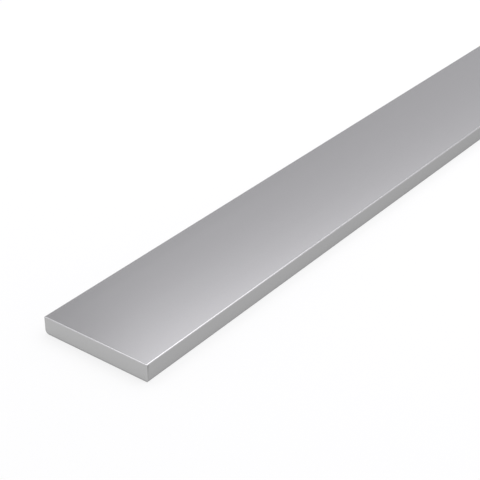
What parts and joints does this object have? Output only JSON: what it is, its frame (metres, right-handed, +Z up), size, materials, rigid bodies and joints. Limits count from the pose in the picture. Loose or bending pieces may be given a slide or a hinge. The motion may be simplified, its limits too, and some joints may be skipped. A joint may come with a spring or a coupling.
{
  "type": "metal flat bar",
  "caption": "Plain rectangular flat bar of extruded aluminium, sawn square at both ends, for frames, edging, brackets and straps.",
  "frame": {"origin": "under the middle of the bar, on the plane it lies on", "axes": "+X along the length, away from the end with the knocked lower corner; +Y across the width, towards the knocked corner's side; +Z up through the thickness"},
  "size_m": [1, 0.04, 0.006],
  "materials": {
    "aluminium": "satin, as extruded"
  },
  "bodies": {
    "root": {"flat_bar": "aluminium"}
  },
  "joints": []
}
